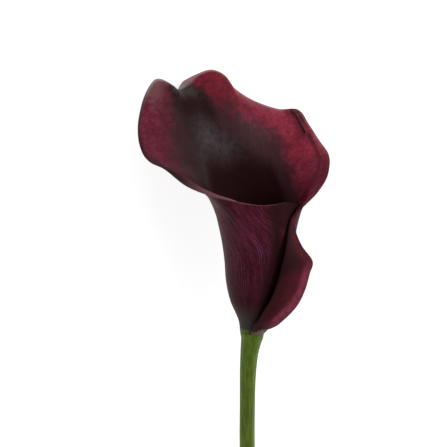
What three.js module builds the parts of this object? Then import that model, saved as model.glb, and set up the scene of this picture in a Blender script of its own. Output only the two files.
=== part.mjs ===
// A calla lily flower on its cut stem, lying on a table.
// Millimetres, +Z up. The table is the plane z = 0, the mouth points to +Y and the stem to -Y.
// The flower has three pieces: the spathe, one leaf rolled into a funnel, the spadix inside it and the stem.
import * as THREE from 'three';

// how the flower lies: its axis rises towards the mouth from the spathe's base
const AXIS_RISE = THREE.MathUtils.degToRad(10);
const BASE_HEIGHT = 19;
// moves the middle of the whole flower's box over the origin
const PLACE = new THREE.Vector3(7.385, 9.675, 0);

// the spathe
const SPATHE_THICKNESS = 0.9;
const RIM_THICKNESS = 0.7;
const SPATHE_COLUMNS = 66;
const SPATHE_ROWS = 25;
// the rolled wall's radius, and how far its middle drifts across, each by height over the base
const WALL_RADIUS = [
  [0, 4.3], [5, 5.15], [13, 8.8], [21, 11], [29, 12.4], [37, 13.95], [45, 15.5], [53, 17.2], [60, 19.1],
];
const WALL_DRIFT = [[0, 0], [13, 0.5], [21, 1], [29, 1.8], [37, 2.3], [45, 2.2], [53, 2], [60, 1.8]];
// the inner end of the roll dips in, the outer wrap rises over it and stands off at its free edge
const INNER_DIP = 1.5;
const OUTER_RISE = 1.1;
const OUTER_STAND_OFF = 1.6;
// the outer wrap spreads into a collar low on its free side, and the lapel's fold is rounded to the front
const COLLAR_SPREAD = 1.6;
const FOLD_ROUND = 2;
// the free edge bends away over this width, over more of it where it drops further, and turns back where it
// drops furthest; each grows between two drops
const EDGE_WIDTH = 2.6;
const EDGE_WIDER = 3.9;
const WIDER_DROPS = [4, 9.5];
const EDGE_TURN = 3;
const TURN_DROPS = [9.2, 12.5];
// the front lip turns back over the wall's outer side, over this width, between these places round the wall
const LIP_WIDTH = 4.2;
const LIP_TURN = 2.4;
const LIP_DROP = 0.7;
const LIP_FROM = [62, 98];
const LIP_TO = [126, 152];
// how far each rib keeps its direction when it leaves the wall, and before it reaches the edge
const LEAVING = 0.3;
const ARRIVING = 0.27;
const LAPEL_STIFFER = 0.08;
const RIB_DRIFT = 0.45;
const RIB_STRETCH = 1.1;
// the free edge, from its end hidden in the roll, along the front rim, round the mouth and down the lapel.
// Each row: x, y and z of the edge before it bends (from the spathe's base, z over the table), the drop of
// the bent edge, the rib's lean from the axis, the rib's place round the wall, and where it leaves the wall.
const EDGE = [
  [12.9, 43.9, 17.6, 0, 6, -66, 32],
  [16.9, 48.8, 24.4, 0, 6, -34, 37],
  [17.5, 51.5, 32.0, 0, 6, -4, 40],
  [13.3, 52.1, 38.5, 0, 8, 20, 40],
  [8.9, 51.2, 42.5, 0, 10, 38, 40],
  [3.7, 50.8, 44.8, 0, 14, 56, 40],
  [-2.6, 51.5, 45.3, 0, 26, 74, 40],
  [-8.8, 52.7, 45.0, 0, 40, 91, 41],
  [-17.3, 54.8, 43.0, 0, 54, 107, 45],
  [-26.2, 58.6, 38.5, 0, 61, 122, 48],
  [-34.7, 65.2, 33.0, 0, 65, 136, 50],
  [-41.8, 69.1, 28.0, 0.5, 67, 149, 50],
  [-45.0, 75.0, 24.5, 1.0, 67, 160, 48],
  [-45.95, 82.4, 21.5, 1.5, 67, 171, 45],
  [-45.0, 89.8, 19.5, 1.6, 66, 181, 41],
  [-43.0, 96.7, 17.5, 2.6, 66, 190, 39],
  [-39.5, 102.5, 15.5, 5.0, 66, 199, 38],
  [-35.7, 102.7, 14.0, 9.8, 66, 208, 37],
  [-33.0, 100.6, 12.6, 13.2, 66, 217, 36],
  [-28.5, 102.4, 10.5, 10.0, 66, 226, 36],
  [-22.4, 105.2, 9.8, 5.0, 66, 235, 36],
  [-16.6, 106.9, 9.3, 2.6, 67, 245, 36],
  [-11.4, 104.9, 8.8, 2.0, 68, 255, 36],
  [-7.6, 99.9, 8.0, 1.8, 70, 265, 36],
  [0.2, 94.7, 6.8, 2.0, 72, 276, 36],
  [11.0, 91.0, 4.8, 2.4, 73, 288, 36],
  [19.5, 90.8, 3.6, 3.9, 73, 299, 36],
  [23.6, 84.5, 8.6, 2.6, 73, 310, 36],
  [27.5, 77.7, 15.0, 1.6, 73, 322, 37],
  [31.2, 71.1, 22.0, 1.0, 74, 334, 38],
  [30.5, 63.3, 27.0, 0, 77, 347, 39],
  [26.3, 56.4, 31.0, 0, 83, 362, 40],
  [21.2, 51.2, 33.5, 0, 90, 379, 38],
  [17.4, 46.6, 34.0, 0, 92, 394, 34],
  [17.2, 41.2, 33.5, 0, 94, 403, 31],
  [19.9, 34.8, 32.0, 0, 98, 405, 27],
  [24.2, 28.8, 30.0, 0, 104, 406, 23],
  [23.1, 23.6, 28.5, 0, 108, 408, 20],
  [21.3, 17.1, 27.5, 0, 110, 411, 16],
  [18.1, 10.7, 27.0, 0, 106, 417, 12],
  [12.9, 5.1, 27.0, 0, 96, 426, 7],
  [8.4, 2.0, 27.2, 0, 78, 438, 4],
  [0.9, 0.7, 24.95, 0, 24, 452, 1],
];
// neighbouring ribs are averaged with these weights, this far apart in rows of EDGE
const NEIGHBOURS = [[-2, 1 / 16], [-1, 4 / 16], [0, 6 / 16], [1, 4 / 16], [2, 1 / 16]];

// the stem: places along its middle line and its radius there
const STEM = [
  [0.2, -0.45, 18.92, 4.85],
  [0.1, -2.03, 18.64, 4.62],
  [-0.2, -3.9, 18.29, 4.18],
  [-0.7, -7, 17.7, 3.85],
  [-1.05, -10, 17.2, 3.6],
  [-1.4, -15, 16.4, 3.4],
  [-1.6, -21, 15.4, 3.22],
  [-1.7, -30, 14.0, 3.12],
  [-1.75, -45, 11.8, 3.12],
  [-1.3, -62, 9.3, 3.1],
  [-0.4, -80, 6.8, 3.1],
  [0.8, -97, 4.7, 3.1],
  [2.0, -112, 3.3, 3.2],
  [2.7, -120, 3.15, 3.25],
  [3.3, -126, 3.15, 3.3],
];
const STEM_SIDES = 24;
const STEM_RINGS = 44;
// the stem goes on inside the spathe's base as a thin core that carries the spadix
const CORE_RADIUS = 2;
const CORE_HEIGHT = 4.2;
const GAP = 0.3;

// the spadix: radius by height over the spathe's base, and its florets in spiral rows
const SPADIX = [
  [4.5, 2.1], [6, 2.5], [10, 3.0], [18, 3.3], [28, 3.3], [38, 2.9], [44, 2.3], [47, 1.6], [48.6, 0.6],
];
const SPADIX_SIDES = 36;
const SPADIX_RINGS = 48;
const FLORET_ROWS = 9;
const FLORET_TURNS = 3.5;
const FLORET_HEIGHT = 0.28;

// what comes this close to the table lies flat on it
const TABLE_REACH = 0.12;

const AXIS = new THREE.Vector3(0, Math.cos(AXIS_RISE), Math.sin(AXIS_RISE));
const FRONT = new THREE.Vector3(0, -Math.sin(AXIS_RISE), Math.cos(AXIS_RISE));
const BASE = new THREE.Vector3(0, 0, BASE_HEIGHT);

// 0 below a, 1 above b, and an even rise between
function rise(a, b, x) {
  return THREE.MathUtils.smoothstep(x, a, b);
}

// a smooth curve through a table of [position, value] rows
function through(table, x) {
  const last = table.length - 1;
  const slope = (i) => {
    const a = table[Math.max(i - 1, 0)];
    const b = table[Math.min(i + 1, last)];
    return (b[1] - a[1]) / (b[0] - a[0]);
  };
  let i = 0;
  while (i < last - 1 && x > table[i + 1][0]) i += 1;
  const step = table[i + 1][0] - table[i][0];
  const t = THREE.MathUtils.clamp((x - table[i][0]) / step, 0, 1);
  return (1 + 2 * t) * (1 - t) ** 2 * table[i][1] + t * (1 - t) ** 2 * step * slope(i)
    + t * t * (3 - 2 * t) * table[i + 1][1] + t * t * (t - 1) * step * slope(i + 1);
}

// the values between the rows of a table, on a smooth curve through them, at a place counted in rows
function between(table, place) {
  const last = table.length - 1;
  const at = THREE.MathUtils.clamp(place, 0, last);
  const i = Math.min(Math.floor(at), last - 1);
  const t = at - i;
  return table[i].map((_, k) => {
    const b = table[i][k];
    const c = table[i + 1][k];
    const a = i > 0 ? table[i - 1][k] : 2 * b - c;
    const d = i + 2 <= last ? table[i + 2][k] : 2 * c - b;
    return b + 0.5 * t * (c - a + t * (2 * a - 5 * b + 4 * c - d + t * (3 * b - 3 * c + d - a)));
  });
}

// a point from the flower's own directions: across, forward and up its axis
function flowerPoint(across, forward, up) {
  return new THREE.Vector3(across, 0, 0).addScaledVector(FRONT, forward).addScaledVector(AXIS, up).add(BASE);
}

// a point of the rolled wall, at an angle in degrees round the axis and a height over the base
function wallPoint(angle, height) {
  const onFreeSide = rise(345, 375, angle) * (1 - rise(425, 445, angle));
  const low = rise(-0.3, 2.2, height) * (1 - rise(3, 11, height));
  const radius = through(WALL_RADIUS, height) - INNER_DIP * (1 - rise(15, 110, angle))
    + OUTER_RISE * rise(345, 400, angle) + OUTER_STAND_OFF * rise(388, 415, angle) * rise(2, 20, height)
    + COLLAR_SPREAD * onFreeSide * low;
  const a = THREE.MathUtils.degToRad(angle);
  return flowerPoint(through(WALL_DRIFT, height) + radius * Math.cos(a), radius * Math.sin(a), height);
}

// one rib of the spathe: up the wall from the base, then free to the edge.
// Returns a function of the share of its length, giving the point, its bend and how free it is.
function makeRib(row) {
  const [x, y, z, drop, lean, root, leave] = row;
  const lip = rise(...LIP_FROM, root) * (1 - rise(...LIP_TO, root));
  const edge = new THREE.Vector3(x, y + LIP_TURN * lip, z);
  const fromBase = edge.clone().sub(BASE);
  const up = fromBase.dot(AXIS);
  let round = THREE.MathUtils.radToDeg(Math.atan2(fromBase.dot(FRONT), x - through(WALL_DRIFT, up)));
  round += 360 * Math.round((root - round) / 360);
  const drift = RIB_DRIFT * (round - root) * THREE.MathUtils.clamp((385 - root) / 25, 0, 1);

  const wall = (height) => wallPoint(root + drift * (height / leave) ** 2, height);
  const start = wall(leave);
  const leaving = start.clone().sub(wall(leave - 0.5)).normalize();
  const span = edge.clone().sub(start);
  const reach = span.length();
  const sideways = span.clone().addScaledVector(AXIS, -span.dot(AXIS)).normalize();
  const a = THREE.MathUtils.degToRad(round);
  const outward = new THREE.Vector3(Math.cos(a), 0, 0).addScaledVector(FRONT, Math.sin(a));
  outward.lerp(sideways, THREE.MathUtils.clamp((lean - 20) / 40, 0, 1)).normalize();
  const tilt = THREE.MathUtils.degToRad(lean);
  const arriving = AXIS.clone().multiplyScalar(Math.cos(tilt)).addScaledVector(outward, Math.sin(tilt));
  const stiffer = LAPEL_STIFFER * rise(380, 410, root);
  const free = new THREE.CubicBezierCurve3(
    start,
    start.clone().addScaledVector(leaving, (LEAVING + stiffer) * reach),
    edge.clone().addScaledVector(arriving, -(ARRIVING + stiffer) * reach),
    edge,
  );
  const length = leave + RIB_STRETCH * reach;
  const turn = EDGE_TURN * rise(...TURN_DROPS, drop);
  const width = EDGE_WIDTH + EDGE_WIDER * rise(...WIDER_DROPS, drop);
  const roundness = FOLD_ROUND * rise(392, 408, root);

  return (share) => {
    const along = share * length;
    const t = THREE.MathUtils.clamp((along - leave) / (length - leave), 0, 1);
    const point = t > 0 ? free.getPoint(t) : wall(along);
    const near = THREE.MathUtils.clamp(1 - (length - along) / width, 0, 1);
    const bent = near * near * (1.6 - 0.6 * near);
    const lipBent = lip * THREE.MathUtils.clamp(1 - (length - along) / LIP_WIDTH, 0, 1) ** 1.6;
    const bend = new THREE.Vector3(0, -turn * bent - LIP_TURN * lipBent, -drop * bent - LIP_DROP * lipBent);
    bend.addScaledVector(FRONT, roundness * Math.sin(Math.PI * t) ** 2);
    return { point, bend, loose: rise(0, 0.3, t) * rise(0, 0.3, 1 - t) };
  };
}

// the spathe's middle surface as a grid: columns are ribs, rows run from the base to the edge
function spatheSheet() {
  const grid = [];
  for (let i = 0; i < SPATHE_COLUMNS; i += 1) {
    const place = (EDGE.length - 1) * i / (SPATHE_COLUMNS - 1);
    const root = between(EDGE, place)[5];
    const flared = rise(100, 135, root) * (1 - rise(350, 385, root));
    const ribs = NEIGHBOURS.map(([step, weight]) => [makeRib(between(EDGE, place + step)), weight]);
    const own = makeRib(between(EDGE, place));
    const column = [];
    for (let j = 0; j < SPATHE_ROWS; j += 1) {
      const v = j / (SPATHE_ROWS - 1);
      const share = v * (1.35 - 0.35 * v * v);
      const mean = new THREE.Vector3();
      for (const [rib, weight] of ribs) mean.addScaledVector(rib(share).point, weight);
      const { point, bend, loose } = own(share);
      const placed = point.lerp(mean, flared * loose).add(bend);
      column.push(placed);
    }
    grid.push(column);
  }
  return grid;
}

// the direction square to the sheet at a place of its grid, on its outer side
function sheetNormal(grid, i, j) {
  const before = grid[Math.max(i - 1, 0)][j];
  const after = grid[Math.min(i + 1, grid.length - 1)][j];
  const below = grid[i][Math.max(j - 1, 0)];
  const above = grid[i][Math.min(j + 1, grid[i].length - 1)];
  const round = after.clone().sub(before);
  return round.cross(above.clone().sub(below)).normalize();
}

// a closed body from two skins on either side of a grid, both split into triangles alike
function thicken(grid, thicknessAt) {
  const columns = grid.length;
  const rows = grid[0].length;
  const points = [];
  for (const side of [1, -1]) {
    for (let i = 0; i < columns; i += 1) {
      for (let j = 0; j < rows; j += 1) {
        const half = thicknessAt(j / (rows - 1)) / 2;
        const p = grid[i][j].clone().addScaledVector(sheetNormal(grid, i, j), side * half);
        if (p.z < TABLE_REACH) p.z = 0;
        points.push(p);
      }
    }
  }
  const outer = (i, j) => i * rows + j;
  const inner = (i, j) => columns * rows + i * rows + j;
  const faces = [];
  const quad = (a, b, c, d) => faces.push(a, b, c, a, c, d);
  for (let i = 0; i < columns - 1; i += 1) {
    for (let j = 0; j < rows - 1; j += 1) {
      quad(outer(i, j), outer(i + 1, j), outer(i + 1, j + 1), outer(i, j + 1));
      faces.push(inner(i, j), inner(i + 1, j + 1), inner(i + 1, j));
      faces.push(inner(i, j), inner(i, j + 1), inner(i + 1, j + 1));
    }
    quad(outer(i, 0), inner(i, 0), inner(i + 1, 0), outer(i + 1, 0));
    quad(outer(i, rows - 1), outer(i + 1, rows - 1), inner(i + 1, rows - 1), inner(i, rows - 1));
  }
  for (let j = 0; j < rows - 1; j += 1) {
    quad(outer(0, j), outer(0, j + 1), inner(0, j + 1), inner(0, j));
    quad(outer(columns - 1, j), inner(columns - 1, j), inner(columns - 1, j + 1), outer(columns - 1, j + 1));
  }
  return closedGeometry(points, faces);
}

function closedGeometry(points, faces) {
  const geometry = new THREE.BufferGeometry().setFromPoints(points);
  geometry.setIndex(faces);
  geometry.computeVertexNormals();
  return geometry;
}

// a closed body from rings of points that all have the same number, capped at both ends
function loft(rings) {
  const sides = rings[0].length;
  const points = rings.flat();
  const faces = [];
  for (let r = 0; r < rings.length - 1; r += 1) {
    for (let s = 0; s < sides; s += 1) {
      const a = r * sides + s;
      const b = r * sides + (s + 1) % sides;
      faces.push(a, b, b + sides, a, b + sides, a + sides);
    }
  }
  for (const [ring, turned] of [[0, true], [rings.length - 1, false]]) {
    const middle = points.length;
    points.push(rings[ring].reduce((sum, p) => sum.add(p), new THREE.Vector3()).divideScalar(sides));
    for (let s = 0; s < sides; s += 1) {
      const a = ring * sides + s;
      const b = ring * sides + (s + 1) % sides;
      faces.push(middle, turned ? b : a, turned ? a : b);
    }
  }
  return closedGeometry(points, faces);
}

// a ring of points round a middle, in the plane of two directions
function ring(middle, first, second, sides, radiusAt) {
  return Array.from({ length: sides }, (_, s) => {
    const angle = 2 * Math.PI * (s + 0.5) / sides;
    const radius = radiusAt(angle);
    return middle.clone().addScaledVector(first, radius * Math.cos(angle))
      .addScaledVector(second, radius * Math.sin(angle));
  });
}

function makeSpathe() {
  const thickness = (v) => THREE.MathUtils.lerp(SPATHE_THICKNESS, RIM_THICKNESS, rise(0.5, 1, v));
  const material = new THREE.MeshStandardMaterial({ color: 0x4a1420, roughness: 0.55, metalness: 0 });
  return new THREE.Mesh(thicken(spatheSheet(), thickness), material);
}

// the stem from its cut end to the shoulder under the spathe, and on as the core inside
function makeStem() {
  const across = new THREE.Vector3(1, 0, 0);
  const rings = [];
  for (let i = STEM_RINGS - 1; i >= 0; i -= 1) {
    const place = (STEM.length - 1) * i / (STEM_RINGS - 1);
    const [x, y, z, radius] = between(STEM, place);
    const [nx, ny, nz] = between(STEM, place - 0.05);
    const [px, py, pz] = between(STEM, place + 0.05);
    const along = new THREE.Vector3(nx - px, ny - py, nz - pz).normalize();
    const side = across.clone().addScaledVector(along, -along.x).normalize();
    const down = along.clone().cross(side);
    const stemRing = ring(new THREE.Vector3(x, y, z), side, down, STEM_SIDES, () => radius);
    for (const p of stemRing) p.z = p.z < TABLE_REACH ? 0 : p.z;
    rings.push(stemRing);
  }
  for (const height of [-GAP, CORE_HEIGHT]) {
    const middle = flowerPoint(0, 0, height);
    rings.push(ring(middle, across, FRONT.clone().negate(), STEM_SIDES, () => CORE_RADIUS));
  }
  const material = new THREE.MeshStandardMaterial({ color: 0x55702c, roughness: 0.5, metalness: 0 });
  return new THREE.Mesh(loft(rings), material);
}

// the spadix, its florets raised in crossing spiral rows
function makeSpadix() {
  const foot = SPADIX[0][0];
  const tip = SPADIX[SPADIX.length - 1][0];
  const rings = [];
  for (let i = 0; i < SPADIX_RINGS; i += 1) {
    const height = THREE.MathUtils.lerp(foot, tip, i / (SPADIX_RINGS - 1));
    const twist = 8 * Math.PI * FLORET_TURNS * (height - foot) / (tip - foot);
    const fade = rise(foot, foot + 2, height) * rise(0, 2, tip - height);
    const floret = (angle) => Math.cos(FLORET_ROWS * angle + twist) * Math.cos(FLORET_ROWS * angle - twist);
    const radiusAt = (angle) => through(SPADIX, height) + FLORET_HEIGHT * fade * floret(angle);
    const middle = flowerPoint(through(WALL_DRIFT, height), 0, height);
    rings.push(ring(middle, new THREE.Vector3(1, 0, 0), FRONT.clone().negate(), SPADIX_SIDES, radiusAt));
  }
  const material = new THREE.MeshStandardMaterial({ color: 0x6b4a2a, roughness: 0.7, metalness: 0 });
  return new THREE.Mesh(loft(rings), material);
}

const flower = new THREE.Group();
const pieces = { spathe: makeSpathe(), spadix: makeSpadix(), stem: makeStem() };
for (const [name, mesh] of Object.entries(pieces)) {
  mesh.name = name;
  flower.add(mesh);
}
flower.position.copy(PLACE);

export default flower;
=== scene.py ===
import math

import bmesh
import bpy
import numpy as np
from bpy.props import FloatProperty, FloatVectorProperty, IntProperty, PointerProperty
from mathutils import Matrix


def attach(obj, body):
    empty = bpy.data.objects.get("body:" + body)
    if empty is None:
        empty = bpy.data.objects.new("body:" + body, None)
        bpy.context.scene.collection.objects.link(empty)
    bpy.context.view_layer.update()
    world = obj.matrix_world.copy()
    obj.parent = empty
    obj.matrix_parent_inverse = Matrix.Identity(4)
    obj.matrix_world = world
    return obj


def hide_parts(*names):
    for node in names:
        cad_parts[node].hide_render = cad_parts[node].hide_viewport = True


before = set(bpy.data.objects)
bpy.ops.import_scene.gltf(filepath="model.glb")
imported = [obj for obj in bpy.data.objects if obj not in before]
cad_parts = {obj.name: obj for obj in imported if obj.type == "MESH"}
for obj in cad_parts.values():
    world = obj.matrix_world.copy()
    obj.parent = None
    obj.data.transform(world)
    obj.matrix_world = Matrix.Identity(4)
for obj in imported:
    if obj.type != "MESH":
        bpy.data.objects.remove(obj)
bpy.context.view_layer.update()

bl_info = {
    "name": "Calla Lily Flower",
    "version": (1, 0, 0),
    "blender": (4, 5, 0),
    "location": "View3D > Sidebar > Calla Lily",
    "description": "Dresses a cut calla lily flower that lies on a table",
    "category": "Add Mesh",
}

MM = 0.001

# how the flower lies: its axis rises towards the mouth from the spathe's base, in degrees and millimetres
AXIS_RISE = 10
BASE_HEIGHT = 19
# the spathe's base from the middle of the whole flower's box
PLACE = (7.385, 9.675)

# what comes nearer to the table than this lies flat on it
TABLE_REACH = 0.12

# Sizes are in millimetres and places round the wall in degrees, from the roll's inner end to the lapel's foot.
# Two bounds give where a change starts and where it is complete. Four bounds give a zone: it sets in at the
# first, is full from the second to the third and has faded at the fourth.

# the rolled wall's radius, and how far its middle drifts across, each by height over the base up to its top
WALL_RADIUS = [
    (0, 4.3), (5, 5.15), (13, 8.8), (21, 11), (29, 12.4), (37, 13.95), (45, 15.5), (53, 17.2), (60, 19.1),
]
WALL_DRIFT = [(0, 0), (13, 0.5), (21, 1), (29, 1.8), (37, 2.3), (45, 2.2), (53, 2), (60, 1.8)]
WALL_TOP = 60
# the inner end of the roll dips in, the outer wrap rises over it and stands off at its free edge
INNER_DIP = 1.5
INNER_END = (15, 110)
OUTER_RISE = 1.1
OUTER_WRAP = (345, 400)
OUTER_STAND_OFF = 1.6
STAND_OFF_ROUND = (388, 415)
STAND_OFF_UP = (2, 20)
# the outer wrap spreads into a collar low on its free side
COLLAR_SPREAD = 1.6
COLLAR_ROUND = (345, 375, 425, 445)
COLLAR_UP = (-0.3, 2.2, 3, 11)
# the lapel's fold is rounded out towards the front
FOLD_ROUND = 2.0
FOLD_PLACE = (392, 408)
# the free edge bends away over this width, and over more of it and back by EDGE_TURN where it drops furthest
EDGE_WIDTH = 2.6
EDGE_WIDER = 3.9
WIDER_BY_DROP = (4, 9.5)
EDGE_TURN = 3.0
TURN_BY_DROP = (9.2, 12.5)
EDGE_CURVE = 0.6
# the front lip turns back over the wall's outer side, over this width
LIP_WIDTH = 4.2
LIP_TURN = 2.4
LIP_DROP = 0.7
LIP_CURVE = 1.6
LIP_PLACE = (62, 98, 126, 152)
# how far each rib keeps its direction when it leaves the wall, and before it reaches the edge
LEAVING = 0.3
ARRIVING = 0.27
LAPEL_STIFFER = 0.08
LAPEL_PLACE = (380, 410)
# on the wall a rib moves round by this share of the way to its edge, and less towards the lapel
RIB_DRIFT = 0.45
DRIFT_STOPS = (385, 360)
# ribs that lean more than this start to point to where their edge lies, and by the second value they do
SIDEWAYS_LEAN = (20, 60)
# a rib's free part is longer than its straight reach by this factor
RIB_STRETCH = 1.1
# the ribs of the flared part are evened out, except near both ends of their free part
FLARED_PLACE = (100, 135, 350, 385)
FREE_END = 0.3
# how much closer together the mesh's rows are at the edge
ROW_CROWDING = 0.35
# the leaf gets thinner from this share of its rows on, and towards its end at the lapel's foot
THIN_FROM = 0.5
FOOT_THINNER = 0.6
FOOT_PLACE = (440, 452)

# the free edge, from its end hidden in the roll, along the front rim, round the mouth and down the lapel.
# Each row: x, y and z of the edge before it bends (from the spathe's base, z over the table), the drop of
# the bent edge, the rib's lean from the axis, the rib's place round the wall, and where it leaves the wall.
EDGE = [
    (12.9, 43.9, 17.6, 0, 6, -66, 32),
    (16.9, 48.8, 24.4, 0, 6, -34, 37),
    (17.5, 51.5, 32.0, 0, 6, -4, 40),
    (13.3, 52.1, 38.5, 0, 8, 20, 40),
    (8.9, 51.2, 42.5, 0, 10, 38, 40),
    (3.7, 50.8, 44.8, 0, 14, 56, 40),
    (-2.6, 51.5, 45.3, 0, 26, 74, 40),
    (-8.8, 52.7, 45.0, 0, 40, 91, 41),
    (-17.3, 54.8, 43.0, 0, 54, 107, 45),
    (-26.2, 58.6, 38.5, 0, 61, 122, 48),
    (-34.7, 65.2, 33.0, 0, 65, 136, 50),
    (-41.8, 69.1, 28.0, 0.5, 67, 149, 50),
    (-45.0, 75.0, 24.5, 1.0, 67, 160, 48),
    (-45.95, 82.4, 21.5, 1.5, 67, 171, 45),
    (-45.0, 89.8, 19.5, 1.6, 66, 181, 41),
    (-43.0, 96.7, 17.5, 2.6, 66, 190, 39),
    (-39.5, 102.5, 15.5, 5.0, 66, 199, 38),
    (-35.7, 102.7, 14.0, 9.8, 66, 208, 37),
    (-33.0, 100.6, 12.6, 13.2, 66, 217, 36),
    (-28.5, 102.4, 10.5, 10.0, 66, 226, 36),
    (-22.4, 105.2, 9.8, 5.0, 66, 235, 36),
    (-16.6, 106.9, 9.3, 2.6, 67, 245, 36),
    (-11.4, 104.9, 8.8, 2.0, 68, 255, 36),
    (-7.6, 99.9, 8.0, 1.8, 70, 265, 36),
    (0.2, 94.7, 6.8, 2.0, 72, 276, 36),
    (11.0, 91.0, 4.8, 2.4, 73, 288, 36),
    (19.5, 90.8, 3.6, 3.9, 73, 299, 36),
    (23.6, 84.5, 8.6, 2.6, 73, 310, 36),
    (27.5, 77.7, 15.0, 1.6, 73, 322, 37),
    (31.2, 71.1, 22.0, 1.0, 74, 334, 38),
    (30.5, 63.3, 27.0, 0, 77, 347, 39),
    (26.3, 56.4, 31.0, 0, 83, 362, 40),
    (21.2, 51.2, 33.5, 0, 90, 379, 38),
    (17.4, 46.6, 34.0, 0, 92, 394, 34),
    (17.2, 41.2, 33.5, 0, 94, 403, 31),
    (19.9, 34.8, 32.0, 0, 98, 405, 27),
    (24.2, 28.8, 30.0, 0, 104, 406, 23),
    (23.1, 23.6, 28.5, 0, 108, 408, 20),
    (21.3, 17.1, 27.5, 0, 110, 411, 16),
    (18.1, 10.7, 27.0, 0, 106, 417, 12),
    (12.9, 5.1, 27.0, 0, 96, 426, 7),
    (8.4, 2.0, 27.2, 0, 78, 438, 4),
    (0.9, 0.7, 24.95, 0, 24, 452, 1),
]
# neighbouring ribs are averaged with these weights, this far apart in rows of EDGE
NEIGHBOURS = [(-2, 1 / 16), (-1, 4 / 16), (0, 6 / 16), (1, 4 / 16), (2, 1 / 16)]
# folds pressed into the right lobe: plan places from the base, with the fold's depth and half its width
RIGHT_LOBE = (270, 285, 372, 380)
PLEAT = [(16.6, 89.6), (18.5, 87.6), (19.9, 84.6), (22.0, 80.6)]
PLEAT_DEPTH = 1.0
PLEAT_WIDTH = 0.9
CREASE = [(23.5, 80.5), (26.0, 75.1), (27.9, 69.8), (26.9, 64.5), (24.4, 58.8), (21.6, 55.6), (19.1, 53.2)]
CREASE_DEPTH = 0.4
CREASE_WIDTH = 0.6
# the distance to a fold that is noted where there is none
FAR = 99.0
# how far the red reaches in from the free edge on the inner side, by the rib's place round the wall
BLUSH_WIDTH = [
    (-66, 3), (56, 4), (91, 5), (107, 7), (122, 9), (136, 11), (149, 12), (160, 15), (171, 15), (181, 14),
    (190, 14), (199, 9), (208, 4), (217, 2), (226, 8), (232, 17), (236, 22), (245, 22), (255, 20), (265, 19),
    (276, 17), (288, 17), (294, 22), (299, 27), (310, 25), (322, 22), (334, 22), (347, 17), (362, 10),
    (379, 5), (394, 2), (403, 3), (405, 6), (407, 12), (411, 12), (417, 10), (426, 7), (452, 4),
]
# how far in from the free edge the brown-black throat starts, by the rib's place round the wall
THROAT_FROM = [
    (-66, 40), (160, 58), (188, 51), (199, 48), (217, 50), (226, 49), (235, 46), (245, 42), (255, 38), (265, 34),
    (276, 30), (288, 27), (299, 29), (310, 25), (334, 25), (362, 22), (452, 22),
]

# how far the veins outside have moved round to the left where they reach the front rim, in degrees
VEIN_SWEEP = 34
# the veins on each side of the leaf: how many in a full turn, and by how many they wander
OUTER_VEINS = (92, 3.6)
INNER_VEINS = (84, 3.5)
# patterns on the leaf's own map: how many round a full turn, and how many to 100 mm up the leaf
VEIN_SWAY = (3, 2.2, 1)
OUTER_PATCHES = (9, 3, 1)
OUTER_STREAKS = (60, 7, 1)
# patterns in space, by how many there are to a metre
OUTER_GRAIN = 600
RIM_GRAIN = 900
FINE_SPOTS = 430
CLOUDS = 130
SPECKS = 1300
CELLS = 520
# how deep the veins and spots stand in the surface
VEIN_DEPTH = 0.06 * MM
SPOT_DEPTH = 0.12 * MM
# the leaf's roughness where it is waxy, and where it is dull
OUTER_ROUGHNESS = (0.48, 0.95)
INNER_ROUGHNESS = (0.38, 0.8)

# zones of the outside's colours round the wall
UNDER_RIM = (15, 60, 110, 160)
FRONT_VEINS = (38, 66, 105, 150)
LILAC_HIGHLIGHT_ROUND = (45, 58, 76, 90)
LEFT_SIDE = (72, 100, 150, 176)
LEAF_FOOT = (82, 125, 250, 300)
OUTER_EDGE_SHADE = (165, 175, 306, 316)
# zones of the inner side's colours round the wall
FRONT_LIP = (60, 84, 146, 165)
LEFT_MIST = (120, 150, 190, 204)
EDGE_SHADE_ROUND = (148, 165, 304, 312)
TIP_SHEEN = (183, 194, 203, 213)
BLOOM_SHEEN_ROUND = (186, 218, 245, 285)
MIDRIB = (193, 207, 226, 240)
HOOK_SHADE = (195, 211, 214, 219)
NOTCH_SHEEN = (201, 212, 221, 231)
TOP_LOBE = (205, 230, 255, 275)
RIGHT_HALF = (212, 238, 338, 352)
LIT_RIGHT_LOBE = (276, 294, 320, 338)
CORNER_SHADE = (280, 291, 300, 306)
OUTER_STRIP = (306, 316, 346, 356)
LOW_RIGHT = (326, 350, 380, 395)
WAIST_SHADE = (374, 386, 404.8, 409)
LAPEL_FOOT = (411, 420, 434, 440)
# zones of the free edge's cut round the wall
RIM_FRONT_HIGHLIGHT = (20, 50, 125, 160)
NECK_SHADE = (366, 378, 402, 408)
# zones up the leaf from its base, in from the free edge, and off the pleat's line
LILAC_HIGHLIGHT_UP = (28, 36, 46, 54)
BLOOM_SHEEN_IN = (24, 40, 42, 54)
SLIVER_SHADE = (0.2, 0.7, 1.8, 2.8)

# the stem: places along its middle line and its radius there
STEM = [
    (0.2, -0.45, 18.92, 4.85),
    (0.1, -2.03, 18.64, 4.62),
    (-0.2, -3.9, 18.29, 4.18),
    (-0.7, -7, 17.7, 3.85),
    (-1.05, -10, 17.2, 3.6),
    (-1.4, -15, 16.4, 3.4),
    (-1.6, -21, 15.4, 3.22),
    (-1.7, -30, 14.0, 3.12),
    (-1.75, -45, 11.8, 3.12),
    (-1.3, -62, 9.3, 3.1),
    (-0.4, -80, 6.8, 3.1),
    (0.8, -97, 4.7, 3.1),
    (2.0, -112, 3.3, 3.2),
    (2.7, -120, 3.15, 3.25),
    (3.3, -126, 3.15, 3.3),
]
# the stem's top: radius by height over the spathe's base, up its shoulder and on as a core that carries the spadix
STEM_TOP = [(-0.3, 4.8), (-0.04, 4.5), (-0.04, 2.0), (2.0, 2.0), (4.2, 1.9), (4.3, 0.6)]
# the stem's cut end, a little hollow: how far in, and share of the radius
STEM_CUT = [(0.22, 0.08), (0.2, 0.35), (0.12, 0.65), (0.03, 0.86), (0.0, 0.96)]
# the ridges of the skin: height as a share of the radius, how many round the stem, and their twist along it
STEM_RIDGES = [(0.012, 7, 3), (0.008, 13, 0)]
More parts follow.
